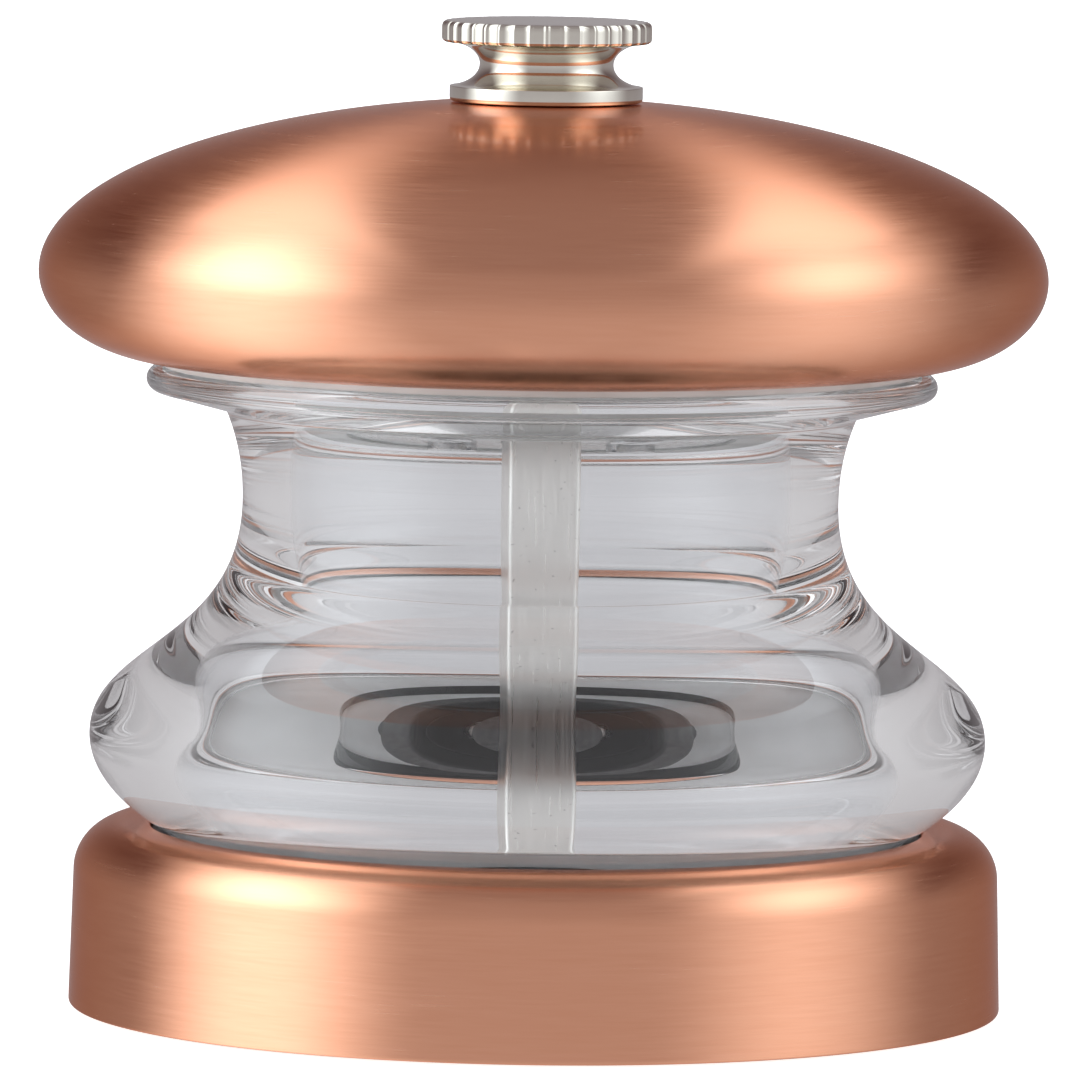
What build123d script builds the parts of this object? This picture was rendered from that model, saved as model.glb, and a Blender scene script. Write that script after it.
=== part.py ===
import math
import os

from build123d import *

# A squat pepper mill, in millimetres, standing on Z = 0 with its axis on Z.

# Clearances between pieces
press_gap = 0.03  # pieces bonded, pressed or screwed together
running_gap = 0.06  # a turning piece in its bearing or on its seat
sliding_gap = 0.1  # a piece that slides in or over another
loose_gap = 0.25  # a piece that is only steered by another

# Spindle, a square bar with a round lower end and a threaded upper end
spindle_side = 4.75
spindle_corner = 0.4
spindle_turn = 7.0  # how far the square stands turned, in degrees
ground_clearance = 1.5
pin_radius = 2.1
pin_tip = 0.35
thread_radius = 1.98
thread_run = 2.2  # thread below the top of the cap
thread_reach = 3.6  # thread inside the knob
spindle_bevel = 0.3

# Clip and washer under the rotor
clip_groove_depth = 0.5
clip_thickness = 0.4
clip_width = 1.3
clip_opening = 2.4
rotor_washer_thickness = 0.4
rotor_washer_radius = 4.2

# Grinder: a fluted cone in a grooved ring
rotor_height = 5.0
rotor_foot_radius = 7.9
cone_slope = 0.44  # radius lost for each millimetre of height
grind_gap = 0.4
flute_count = 14
flute_width = 0.9
flute_depth = 0.5
flute_twist = 20.0  # degrees
feed_height = 2.2  # feed funnel of the ring above the rotor
feed_mouth_radius = 8.7
ring_wall = 1.35  # at the ring's foot
groove_count = 20
groove_width = 0.8
groove_depth = 0.5

# Spring between the rotor and its thrust washer
wire_diameter = 0.55
coil_play = 0.3  # between the coil and the spindle's corners
coil_pitch = 1.05
spring_pocket_depth = 2.4
spring_pocket_play = 0.3
thrust_washer_thickness = 0.4
thrust_washer_radius = 4.9

# Bridge plate and the spindle's bush
bridge_thickness = 1.0
window_count = 4
window_width = 3.0
spoke_width = 2.4
bush_wall = 1.1
bush_flange = 0.8
bush_flange_thickness = 0.5

# Carrier of the grinder, with the cover that closes the base
carrier_wall = 3.9
tube_wall = 1.3  # of the rim that stands above the carrier's shelf
shelf_drop = 2.0
lip_width = 0.8
lip_height = 1.05
rim_below_floor = 1.5
cover_thickness = 2.2
retainer_thickness = 0.8
retainer_lap = 0.3  # how far the retainer's hole clears the ring's foot
retainer_width = 5.6

# Screws
screw_count = 4
carrier_screw_radius = 1.0
carrier_screw_head_radius = 1.9
carrier_screw_head_height = 0.9
carrier_screw_bite = 2.0
carrier_screw_circle = 18.5
boss_wall = 1.3
retainer_screw_radius = 0.8
retainer_screw_head_radius = 1.4
retainer_screw_head_height = 0.55
retainer_screw_bite = 1.7
drive_screw_radius = 1.0
drive_screw_head_radius = 1.7
drive_screw_head_height = 0.8
drive_screw_bite = 1.4
slot_width = 0.4
slot_depth = 0.3

# Base
base_taper = 0.25  # radius gained towards the table
base_land_width = 1.92  # flat land between the mouth and the round shoulder
base_shoulder_round = 3.2
base_bevel = 0.3
base_wall = 1.0
body_sink = 2.8  # how deep the body's seat lies below the top of the base
insert_rim_width = 2.5
insert_web_thickness = 2.0
collar_width = 0.8

# Clear body
gasket_thickness = 0.4
gasket_inset = 0.2
floor_thickness = 3.8
foot_radius = 24.4
foot_below_top = 0.5
undercut_reach = 2.8
undercut_rise = 1.5
belly_width = 5.1  # beyond the foot
belly_rise = 5.8  # above the top of the base
belly_drop = 2.6
belly_fullness = 5.7
waist_radius = 19.6
waist_rise = 15.6  # above the belly
waist_fullness = 9.7
flare_width = 1.2
flare_rise = 5.9
flare_fullness = 3.2
flange_radius = 26.0
flange_round = 0.7
flange_lift = 1.2  # rise of the flange's underside towards its edge
flange_height = 2.7  # above the flare
neck_bore_radius = 16.4
chamber_shoulder_drop = 6.0  # below the waist
belly_wall = 5.8
chamber_reach = 1.6
chamber_fall = 2.0
chamber_fullness = 3.8
chamber_drop = 2.0
chamber_floor_width = 6.7  # beside the hole for the grinder
floor_fall = 0.5  # from the chamber's side to the hole

# Cap
cap_gap = 0.6
cap_radius = 33.15
cap_edge_inset = 1.0  # from the edge of the flange
cap_lower_height = 5.7
cap_dome_height = 11.55
cap_wall = 0.9
land_radius = 6.7
insert_gap = 0.15
insert_thickness = 1.9
insert_rib_count = 4
insert_rib_width = 1.6
insert_rib_height = 6.0
insert_rib_inset = 2.0
spigot_length = 1.35
spigot_wall = 3.2
drive_plate_thickness = 1.1
drive_screw_circle = 8.6

# Knob
collar_radius = 6.35
collar_height = 1.0
knob_radius = 6.9
knob_rim_height = 1.4
knob_waist_radius = 4.4
knob_groove_height = 2.9
knob_groove_depth = 2.3
knob_bevel = 0.25
knurl_count = 40
knurl_radius = 0.24
knob_bore_depth = 4.4

# Heights of the stack, from the table up
clip_z = ground_clearance + pin_tip
rotor_washer_z = clip_z + clip_thickness
rotor_z = rotor_washer_z + rotor_washer_thickness
rotor_top = rotor_z + rotor_height
ring_top = rotor_top + feed_height
bridge_top = ring_top + bridge_thickness
rim_z = bridge_top + lip_height
floor_z = rim_z + rim_below_floor
body_z = floor_z - floor_thickness
seat_z = body_z - gasket_thickness
base_top = seat_z + body_sink
foot_top = base_top - foot_below_top
belly_z = base_top + belly_rise
waist_z = belly_z + waist_rise
flare_z = waist_z + flare_rise
mouth_z = flare_z + flange_height
cap_edge_z = mouth_z + cap_gap
cap_mid_z = cap_edge_z + cap_lower_height
land_share = land_radius / cap_radius
land_z = cap_mid_z + cap_dome_height * math.sqrt(1 - land_share**2)
ceiling_share = land_radius / (cap_radius - cap_wall)
cap_ceiling = cap_mid_z + (cap_dome_height - cap_wall) * math.sqrt(1 - ceiling_share**2)
insert_z = mouth_z + insert_gap
insert_top = insert_z + insert_thickness
spigot_z = insert_z - spigot_length
knob_z = land_z + running_gap
knob_rim_z = knob_z + collar_height + knob_groove_height
knob_top = knob_rim_z + knob_rim_height
square_top = cap_ceiling - thread_run
thread_top = knob_z + thread_reach

# Radii shared by pieces that fit together
spindle_half = spindle_side / 2
spindle_reach = spindle_half * math.sqrt(2) - spindle_corner * (math.sqrt(2) - 1)
square_hole = spindle_side + 2 * sliding_gap
clip_groove_radius = pin_radius - clip_groove_depth
clip_bore_radius = clip_groove_radius + press_gap
coil_radius = spindle_half * math.sqrt(2) + coil_play + wire_diameter / 2
pocket_radius = coil_radius + wire_diameter / 2 + spring_pocket_play
rotor_top_radius = rotor_foot_radius - cone_slope * rotor_height
ring_foot_radius = rotor_foot_radius + grind_gap
ring_throat_radius = rotor_top_radius + grind_gap
ring_radius = ring_foot_radius + ring_wall
ring_seat_radius = ring_radius + press_gap
lip_radius = ring_seat_radius - lip_width
carrier_radius = ring_seat_radius + carrier_wall
tube_radius = ring_seat_radius + tube_wall
floor_hole_radius = carrier_radius + sliding_gap
retainer_hole_radius = ring_foot_radius + retainer_lap
retainer_radius = retainer_hole_radius + retainer_width
retainer_screw_circle = (ring_seat_radius + retainer_radius) / 2
bush_bore_radius = spindle_reach + running_gap
bush_radius = bush_bore_radius + bush_wall
bush_seat_radius = bush_radius + press_gap
window_inner_radius = lip_radius - window_width
belly_radius = foot_radius + belly_width
chamber_radius = belly_radius - belly_wall
socket_radius = foot_radius + sliding_gap
collar_outer_radius = socket_radius + collar_width
base_mouth_radius = collar_outer_radius + press_gap
base_shoulder_radius = base_mouth_radius + base_land_width + base_shoulder_round
base_foot_radius = base_shoulder_radius + base_taper
base_inside_radius = base_shoulder_radius - base_wall
insert_radius = base_inside_radius - press_gap
insert_rim_radius = insert_radius - insert_rim_width
cover_radius = insert_rim_radius - sliding_gap
chamber_floor_radius = floor_hole_radius + chamber_floor_width
cap_edge_radius = flange_radius - cap_edge_inset
spigot_radius = neck_bore_radius - loose_gap
spigot_bore_radius = spigot_radius - spigot_wall
drive_plate_radius = spigot_bore_radius - sliding_gap
hub_bore_radius = spindle_half * math.sqrt(2) + loose_gap
hub_radius = land_radius - loose_gap
thread_hole_radius = thread_radius + loose_gap
knob_bore_radius = thread_radius + running_gap

stand = (Align.CENTER, Align.CENTER, Align.MIN)
hang = (Align.CENTER, Align.CENTER, Align.MAX)
half_step = 180 / screw_count
os.makedirs("parts", exist_ok=True)

# Copper band of the base, a spun shell with a round shoulder
with BuildPart() as base_shell:
    with BuildSketch(Plane.XZ):
        with BuildLine():
            shoulder_low = base_top - base_shoulder_round
            shoulder_in = base_shoulder_radius - base_shoulder_round
            Polyline(
                (base_inside_radius, 0),
                (base_foot_radius - base_bevel, 0),
                (base_foot_radius, base_bevel),
                (base_shoulder_radius, shoulder_low),
            )
            CenterArc((shoulder_in, shoulder_low), base_shoulder_round, 0, 90)
            Polyline(
                (shoulder_in, base_top),
                (base_mouth_radius, base_top),
                (base_mouth_radius, base_top - base_wall),
                (shoulder_in, base_top - base_wall),
            )
            CenterArc((shoulder_in, shoulder_low), base_shoulder_round - base_wall, 90, -90)
            Line((base_inside_radius, shoulder_low), (base_inside_radius, 0))
        make_face()
    revolve(axis=Axis.Z)
    mouth_edges = base_shell.edges().filter_by(GeomType.CIRCLE)
    mouth_edge = mouth_edges.filter_by_position(Axis.Z, base_top, base_top).sort_by(SortBy.RADIUS)[0]
    fillet(mouth_edge, base_wall / 2)

# Filler of the base, with the body's socket and the bosses for the carrier's screws
insert_ceiling = base_top - base_wall
web_z = seat_z - insert_web_thickness
cover_top = rotor_z + cover_thickness
with BuildPart() as base_insert:
    with BuildSketch(Plane.XZ):
        with BuildLine():
            Polyline(
                (insert_rim_radius, 0),
                (insert_radius, 0),
                (insert_radius, insert_ceiling - base_shoulder_round),
                (insert_radius - base_shoulder_round, insert_ceiling),
                (collar_outer_radius, insert_ceiling),
                (collar_outer_radius, foot_top),
                (socket_radius, foot_top),
                (socket_radius, seat_z),
                (floor_hole_radius, seat_z),
                (floor_hole_radius, web_z),
                (insert_rim_radius, web_z),
                close=True,
            )
        make_face()
    revolve(axis=Axis.Z)
    with Locations((0, 0, cover_top)):
        with PolarLocations(carrier_screw_circle, screw_count):
            Cylinder(carrier_screw_radius + boss_wall, web_z - cover_top, align=stand)
            Cylinder(
                carrier_screw_radius + press_gap,
                carrier_screw_bite + press_gap,
                align=stand,
                mode=Mode.SUBTRACT,
            )

# Seal between the body's floor and its seat
with BuildPart() as base_gasket:
    with Locations((0, 0, seat_z)):
        Cylinder(foot_radius - gasket_inset, gasket_thickness, align=stand)
        Cylinder(floor_hole_radius + gasket_inset, gasket_thickness, align=stand, mode=Mode.SUBTRACT)

# Clear body: a belly and a waisted neck, hollow, with a flange at the mouth
flare_radius = waist_radius + flare_width
chamber_shoulder_z = waist_z - chamber_shoulder_drop
flange_low = flare_z + flange_lift
with BuildPart() as body:
    with BuildSketch(Plane.XZ):
        with BuildLine():
            Polyline((floor_hole_radius, body_z), (foot_radius, body_z), (foot_radius, foot_top))
            Bezier(
                (foot_radius, foot_top),
                (foot_radius + undercut_reach, foot_top + undercut_rise),
                (belly_radius, belly_z - belly_drop),
                (belly_radius, belly_z),
            )
            Bezier(
                (belly_radius, belly_z),
                (belly_radius, belly_z + belly_fullness),
                (waist_radius, waist_z - waist_fullness),
                (waist_radius, waist_z),
            )
            Bezier((waist_radius, waist_z), (waist_radius, waist_z + flare_fullness), (flare_radius, flare_z))
            Line((flare_radius, flare_z), (flange_radius - flange_round, flange_low))
            ThreePointArc(
                (flange_radius - flange_round, flange_low),
                (flange_radius, (flange_low + mouth_z) / 2),
                (flange_radius - flange_round, mouth_z),
            )
            Polyline(
                (flange_radius - flange_round, mouth_z),
                (neck_bore_radius, mouth_z),
                (neck_bore_radius, chamber_shoulder_z),
            )
            Bezier(
                (neck_bore_radius, chamber_shoulder_z),
                (neck_bore_radius + chamber_reach, chamber_shoulder_z - chamber_fall),
                (chamber_radius, belly_z + chamber_fullness),
                (chamber_radius, belly_z),
            )
            Bezier(
                (chamber_radius, belly_z),
                (chamber_radius, belly_z - chamber_drop),
                (chamber_radius, floor_z + floor_fall),
                (chamber_floor_radius, floor_z + floor_fall),
            )
            Polyline(
                (chamber_floor_radius, floor_z + floor_fall),
                (floor_hole_radius, floor_z),
                (floor_hole_radius, body_z),
            )
        make_face()
    revolve(axis=Axis.Z)

# Carrier: a stepped tube through the body's floor, with the cover of the base at its foot
with BuildPart() as mechanism_carrier:
    with BuildSketch(Plane.XZ):
        with BuildLine():
            Polyline(
                (ring_seat_radius, rotor_z),
                (cover_radius, rotor_z),
                (cover_radius, cover_top),
                (carrier_radius, cover_top),
                (carrier_radius, rim_z - shelf_drop),
                (tube_radius, rim_z - shelf_drop),
                (tube_radius, rim_z),
                (lip_radius, rim_z),
                (lip_radius, bridge_top),
                (ring_seat_radius, bridge_top),
                close=True,
            )
        make_face()
    revolve(axis=Axis.Z)
    with Locations((0, 0, rotor_z)):
        with PolarLocations(carrier_screw_circle, screw_count):
            Cylinder(carrier_screw_radius + sliding_gap, cover_thickness, align=stand, mode=Mode.SUBTRACT)
        with PolarLocations(retainer_screw_circle, screw_count, start_angle=half_step):
            Cylinder(
                retainer_screw_radius + press_gap,
                retainer_screw_bite + press_gap,
                align=stand,
                mode=Mode.SUBTRACT,
            )
    rim_edges = mechanism_carrier.edges().filter_by_position(Axis.Z, rim_z, rim_z)
    fillet(rim_edges, lip_width / 4)

with BuildPart() as carrier_screws:
    with Locations((0, 0, rotor_z)):
        with PolarLocations(carrier_screw_circle, screw_count):
            Cylinder(carrier_screw_radius, cover_thickness + carrier_screw_bite, align=stand)
            Cylinder(carrier_screw_head_radius, carrier_screw_head_height, align=hang)
    with Locations((0, 0, rotor_z - carrier_screw_head_height)):
        with PolarLocations(carrier_screw_circle, screw_count):
            Box(2 * carrier_screw_head_radius, slot_width, slot_depth, align=stand, mode=Mode.SUBTRACT)

# Bridge plate with feed windows, and the bush that it carries
with BuildPart() as bridge_plate:
    with BuildSketch(Plane.XY.offset(ring_top)):
        Circle(ring_radius)
        Circle(bush_seat_radius, mode=Mode.SUBTRACT)
    extrude(amount=bridge_thickness)
    with BuildSketch(Plane.XY.offset(ring_top)):
        Circle(lip_radius)
        Circle(window_inner_radius, mode=Mode.SUBTRACT)
        with PolarLocations(0, window_count // 2):
            Rectangle(2 * ring_radius, spoke_width, mode=Mode.SUBTRACT)
    extrude(amount=bridge_thickness, mode=Mode.SUBTRACT)

with BuildPart() as spindle_bush:
    with Locations((0, 0, ring_top)):
        Cylinder(bush_radius, bridge_thickness + bush_flange_thickness, align=stand)
    with Locations((0, 0, bridge_top)):
        Cylinder(bush_radius + bush_flange, bush_flange_thickness, align=stand)
    Cylinder(bush_bore_radius, 2 * rim_z, mode=Mode.SUBTRACT)

# Toothed ring: a feed funnel above a grinding cone
cone_lean = math.degrees(math.atan(cone_slope))
ring_mid_radius = (ring_foot_radius + ring_throat_radius) / 2
rotor_mid_radius = (rotor_foot_radius + rotor_top_radius) / 2
rotor_mid_z = (rotor_z + rotor_top) / 2
with BuildPart() as grinder_ring:
    with BuildSketch(Plane.XZ):
        with BuildLine():
            Polyline(
                (ring_foot_radius, rotor_z),
                (ring_radius, rotor_z),
                (ring_radius, ring_top),
                (feed_mouth_radius, ring_top),
                (ring_throat_radius, rotor_top),
                close=True,
            )
        make_face()
    revolve(axis=Axis.Z)
    with Locations((0, 0, rotor_mid_z)):
        with PolarLocations(ring_mid_radius, groove_count):
            Box(
                2 * groove_depth,
                groove_width,
                2 * rotor_height,
                rotation=(-flute_twist, -cone_lean, 0),
                mode=Mode.SUBTRACT,
            )

# Plate that holds the ring and the bridge in the carrier
with BuildPart() as ring_retainer:
    with Locations((0, 0, rotor_z)):
        Cylinder(retainer_radius, retainer_thickness, align=hang)
        Cylinder(retainer_hole_radius, retainer_thickness, align=hang, mode=Mode.SUBTRACT)
        with PolarLocations(retainer_screw_circle, screw_count, start_angle=half_step):
            Cylinder(retainer_screw_radius + sliding_gap, retainer_thickness, align=hang, mode=Mode.SUBTRACT)

with BuildPart() as retainer_screws:
    retainer_z = rotor_z - retainer_thickness
    with Locations((0, 0, retainer_z)):
        with PolarLocations(retainer_screw_circle, screw_count, start_angle=half_step):
            Cylinder(retainer_screw_radius, retainer_thickness + retainer_screw_bite, align=stand)
            Cylinder(retainer_screw_head_radius, retainer_screw_head_height, align=hang)
    with Locations((0, 0, retainer_z - retainer_screw_head_height)):
        with PolarLocations(retainer_screw_circle, screw_count, start_angle=half_step):
            Box(2 * retainer_screw_head_radius, slot_width, slot_depth, align=stand, mode=Mode.SUBTRACT)

# Spindle: round pin with the clip's groove, square bar, threaded end
with BuildPart() as spindle:
    with BuildSketch(Plane.XY.offset(rotor_z)):
        RectangleRounded(spindle_side, spindle_side, spindle_corner, rotation=spindle_turn)
    extrude(amount=square_top - rotor_z)
    with Locations((0, 0, ground_clearance)):
        Cylinder(pin_radius, rotor_z - ground_clearance, align=stand)
    with BuildSketch(Plane.XY.offset(clip_z - press_gap)):
        Circle(pin_radius)
        Circle(clip_groove_radius, mode=Mode.SUBTRACT)
    extrude(amount=clip_thickness + 2 * press_gap, mode=Mode.SUBTRACT)
    with Locations((0, 0, square_top)):
        Cylinder(thread_radius, thread_top - square_top, align=stand)
    tip_edges = spindle.edges().filter_by(GeomType.CIRCLE).group_by(Axis.Z)[-1]
    chamfer(tip_edges, spindle_bevel)

with BuildPart() as rotor_clip:
    with BuildSketch(Plane.XY.offset(clip_z)):
        Circle(clip_bore_radius + clip_width)
        Circle(clip_bore_radius, mode=Mode.SUBTRACT)
        Rectangle(
            2 * (clip_bore_radius + clip_width),
            clip_opening,
            align=(Align.MIN, Align.CENTER),
            mode=Mode.SUBTRACT,
        )
    extrude(amount=clip_thickness)

with BuildPart() as rotor_washer:
    with Locations((0, 0, rotor_washer_z)):
        Cylinder(rotor_washer_radius, rotor_washer_thickness, align=stand)
        Cylinder(pin_radius + sliding_gap, rotor_washer_thickness, align=stand, mode=Mode.SUBTRACT)

# Rotor: a cone with slanting flutes, a square hole and a pocket for the spring
pocket_floor = rotor_top - spring_pocket_depth
with BuildPart() as grinder_rotor:
    with Locations((0, 0, rotor_z)):
        Cone(rotor_foot_radius, rotor_top_radius, rotor_height, align=stand)
    with Locations((0, 0, rotor_mid_z)):
        with PolarLocations(rotor_mid_radius, flute_count):
            Box(
                2 * flute_depth,
                flute_width,
                2 * rotor_height,
                rotation=(flute_twist, -cone_lean, 0),
                mode=Mode.SUBTRACT,
            )
    with Locations((0, 0, pocket_floor)):
        Cylinder(pocket_radius, spring_pocket_depth, align=stand, mode=Mode.SUBTRACT)
    with BuildSketch(Plane.XY.offset(rotor_z)):
        Rectangle(square_hole, square_hole, rotation=spindle_turn)
    extrude(amount=rotor_height, mode=Mode.SUBTRACT)

with BuildPart() as thrust_washer:
    with BuildSketch(Plane.XY.offset(ring_top - running_gap)):
        Circle(thrust_washer_radius)
        Rectangle(square_hole, square_hole, rotation=spindle_turn, mode=Mode.SUBTRACT)
    extrude(amount=-thrust_washer_thickness)

# Spring: one round wire along a helix, laid as two tangent arcs for each quarter turn
spring_low = pocket_floor + press_gap + wire_diameter / 2
spring_high = ring_top - running_gap - thrust_washer_thickness - press_gap - wire_diameter / 2
spring_rise = spring_high - spring_low
quarter_turns = round(4 * spring_rise / coil_pitch)
quarter_rise = spring_rise / quarter_turns
helix_slope = quarter_rise / (coil_radius * math.pi / 2)


def helix_point(quarter):
    angle = quarter * math.pi / 2
    return Vector(
        coil_radius * math.cos(angle),
        coil_radius * math.sin(angle),
        spring_low + quarter_rise * quarter,
    )


def helix_direction(quarter):
    angle = quarter * math.pi / 2
    return Vector(-math.sin(angle), math.cos(angle), helix_slope).normalized()


with BuildPart() as rotor_spring:
    with BuildLine() as coil:
        for quarter in range(quarter_turns):
            start = helix_point(quarter)
            end = helix_point(quarter + 1)
            leaving = helix_direction(quarter)
            arriving = helix_direction(quarter + 1)
            chord = end - start
            both = leaving + arriving
            bend = 2 * (1 - leaving.dot(arriving))
            across = chord.dot(both)
            arm = (math.sqrt(across**2 + bend * chord.dot(chord)) - across) / bend
            first_corner = start + leaving * arm
            last_corner = end - arriving * arm
            joint = (first_corner + last_corner) / 2
            TangentArc(start, joint, tangent=leaving)
            TangentArc(joint, end, tangent=last_corner - first_corner)
    with BuildSketch(Plane(helix_point(0), x_dir=(1, 0, 0), z_dir=helix_direction(0))):
        Circle(wire_diameter / 2)
    sweep(path=coil.wires()[0])

# Least gap of the wire to itself, from points along the coil
points_per_turn = 48
sample_count = quarter_turns * points_per_turn // 4 + 1
samples = [helix_point(4 * step / points_per_turn) for step in range(sample_count)]
least_gap = min(
    (samples[later] - samples[earlier]).length - wire_diameter
    for earlier in range(len(samples))
    for later in range(earlier + points_per_turn // 2, len(samples))
)
print("rotor_spring turns", quarter_turns / 4, "least gap", round(least_gap, 3))

# Cap: a spun dome that closes in below
dome_start = math.degrees(math.acos(land_share))
ceiling_start = math.degrees(math.acos(ceiling_share))
lower_width = cap_radius - cap_edge_radius
with BuildPart() as cap_shell:
    with BuildSketch(Plane.XZ):
        with BuildLine():
            Line((thread_hole_radius, land_z), (land_radius, land_z))
            EllipticalCenterArc((0, cap_mid_z), cap_radius, cap_dome_height, dome_start, arc_size=-dome_start)
            EllipticalCenterArc((cap_edge_radius, cap_mid_z), lower_width, cap_lower_height, 0, arc_size=-90)
            Line((cap_edge_radius, cap_edge_z), (cap_edge_radius, cap_edge_z + cap_wall))
            EllipticalCenterArc(
                (cap_edge_radius, cap_mid_z),
                lower_width - cap_wall,
                cap_lower_height - cap_wall,
                -90,
                arc_size=90,
            )
            EllipticalCenterArc(
                (0, cap_mid_z),
                cap_radius - cap_wall,
                cap_dome_height - cap_wall,
                0,
                arc_size=ceiling_start,
            )
            Polyline(
                (land_radius, cap_ceiling),
                (thread_hole_radius, cap_ceiling),
                (thread_hole_radius, land_z),
            )
        make_face()
    revolve(axis=Axis.Z)

# Filler of the cap: a closing disc with a spigot below, and a ribbed hub up to the dome
insert_disc_radius = cap_edge_radius - press_gap
with BuildPart() as cap_insert:
    with BuildSketch(Plane.XZ):
        with BuildLine():
            Polyline(
                (hub_bore_radius, insert_z),
                (spigot_bore_radius, insert_z),
                (spigot_bore_radius, spigot_z),
                (spigot_radius, spigot_z),
                (spigot_radius, insert_z),
                (insert_disc_radius, insert_z),
                (insert_disc_radius, insert_top),
                (hub_radius, insert_top),
                (hub_radius, cap_ceiling - press_gap),
                (hub_bore_radius, cap_ceiling - press_gap),
                close=True,
            )
        make_face()
    revolve(axis=Axis.Z)
    rib_length = insert_disc_radius - insert_rib_inset
    with BuildSketch(Plane.XY.offset(insert_top)):
        with PolarLocations(0, insert_rib_count // 2):
            Rectangle(2 * rib_length, insert_rib_width)
        Circle(hub_radius, mode=Mode.SUBTRACT)
    extrude(amount=insert_rib_height)
    with Locations((0, 0, insert_z)):
        with PolarLocations(drive_screw_circle, screw_count, start_angle=half_step):
            Cylinder(
                drive_screw_radius + press_gap,
                drive_screw_bite + press_gap,
                align=stand,
                mode=Mode.SUBTRACT,
            )

with BuildPart() as drive_plate:
    with BuildSketch(Plane.XY.offset(insert_z)):
        Circle(drive_plate_radius)
        Rectangle(square_hole, square_hole, rotation=spindle_turn, mode=Mode.SUBTRACT)
        with PolarLocations(drive_screw_circle, screw_count, start_angle=half_step):
            Circle(drive_screw_radius + sliding_gap, mode=Mode.SUBTRACT)
    extrude(amount=-drive_plate_thickness)

with BuildPart() as drive_plate_screws:
    drive_plate_z = insert_z - drive_plate_thickness
    with Locations((0, 0, drive_plate_z)):
        with PolarLocations(drive_screw_circle, screw_count, start_angle=half_step):
            Cylinder(drive_screw_radius, drive_plate_thickness + drive_screw_bite, align=stand)
            Cylinder(drive_screw_head_radius, drive_screw_head_height, align=hang)
    with Locations((0, 0, drive_plate_z - drive_screw_head_height)):
        with PolarLocations(drive_screw_circle, screw_count, start_angle=half_step):
            Box(2 * drive_screw_head_radius, slot_width, slot_depth, align=stand, mode=Mode.SUBTRACT)

# Knob: collar, waist and a knurled rim, turned from one bar
groove_mid_z = knob_z + collar_height + knob_groove_height / 2
groove_centre = knob_waist_radius + knob_groove_depth
groove_half = knob_groove_height / 2
collar_angle = math.degrees(math.acos((groove_centre - collar_radius) / knob_groove_depth))
collar_meets = groove_mid_z - groove_half * math.sin(math.radians(collar_angle))
with BuildPart() as adjusting_knob:
    with BuildSketch(Plane.XZ):
        with BuildLine():
            Polyline(
                (0, knob_top),
                (0, knob_z),
                (collar_radius - knob_bevel, knob_z),
                (collar_radius, knob_z + knob_bevel),
                (collar_radius, collar_meets),
            )
            EllipticalCenterArc(
                (groove_centre, groove_mid_z),
                knob_groove_depth,
                groove_half,
                180 + collar_angle,
                arc_size=-90 - collar_angle,
            )
            Polyline(
                (groove_centre, knob_rim_z),
                (knob_radius, knob_rim_z + knob_bevel),
                (knob_radius, knob_top - knob_bevel),
                (knob_radius - knob_bevel, knob_top),
                (0, knob_top),
            )
        make_face()
    revolve(axis=Axis.Z)
    with Locations((0, 0, knob_rim_z)):
        with PolarLocations(knob_radius + knurl_radius / 2, knurl_count):
            Cylinder(knurl_radius, knob_rim_height, align=stand, mode=Mode.SUBTRACT)
    with Locations((0, 0, knob_z)):
        Cylinder(knob_bore_radius, knob_bore_depth, align=stand, mode=Mode.SUBTRACT)

pieces = {
    "adjusting_knob": adjusting_knob,
    "cap_shell": cap_shell,
    "cap_insert": cap_insert,
    "drive_plate": drive_plate,
    "drive_plate_screws": drive_plate_screws,
    "body": body,
    "spindle": spindle,
    "grinder_rotor": grinder_rotor,
    "rotor_washer": rotor_washer,
    "rotor_clip": rotor_clip,
    "rotor_spring": rotor_spring,
    "thrust_washer": thrust_washer,
    "spindle_bush": spindle_bush,
    "bridge_plate": bridge_plate,
    "grinder_ring": grinder_ring,
    "ring_retainer": ring_retainer,
    "retainer_screws": retainer_screws,
    "mechanism_carrier": mechanism_carrier,
    "carrier_screws": carrier_screws,
    "base_gasket": base_gasket,
    "base_insert": base_insert,
    "base_shell": base_shell,
}
for name, piece in pieces.items():
    piece.part.label = name
    export_step(piece.part, f"parts/{name}.step")
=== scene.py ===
import math

import bmesh
import bpy
from mathutils import Matrix, Vector


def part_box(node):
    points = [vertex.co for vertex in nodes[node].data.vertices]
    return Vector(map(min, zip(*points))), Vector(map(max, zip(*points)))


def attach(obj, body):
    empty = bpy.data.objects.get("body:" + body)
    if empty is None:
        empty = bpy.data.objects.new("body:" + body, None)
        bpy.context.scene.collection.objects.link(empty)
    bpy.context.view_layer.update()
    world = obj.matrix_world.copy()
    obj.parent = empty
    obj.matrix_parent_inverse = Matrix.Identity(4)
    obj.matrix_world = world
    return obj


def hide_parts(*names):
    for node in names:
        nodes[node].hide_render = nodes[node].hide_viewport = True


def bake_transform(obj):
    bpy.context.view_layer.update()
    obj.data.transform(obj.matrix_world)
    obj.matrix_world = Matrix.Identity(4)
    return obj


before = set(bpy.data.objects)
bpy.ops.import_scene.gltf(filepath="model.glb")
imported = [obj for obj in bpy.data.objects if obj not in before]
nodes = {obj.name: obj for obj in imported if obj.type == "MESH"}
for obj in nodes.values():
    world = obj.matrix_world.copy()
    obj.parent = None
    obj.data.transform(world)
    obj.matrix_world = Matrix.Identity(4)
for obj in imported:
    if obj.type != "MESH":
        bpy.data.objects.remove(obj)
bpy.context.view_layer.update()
scene = bpy.context.scene
mm = 0.001
fullTurn = 2 * math.pi


# Outlines are lists of (radius, height) in millimetres

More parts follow.
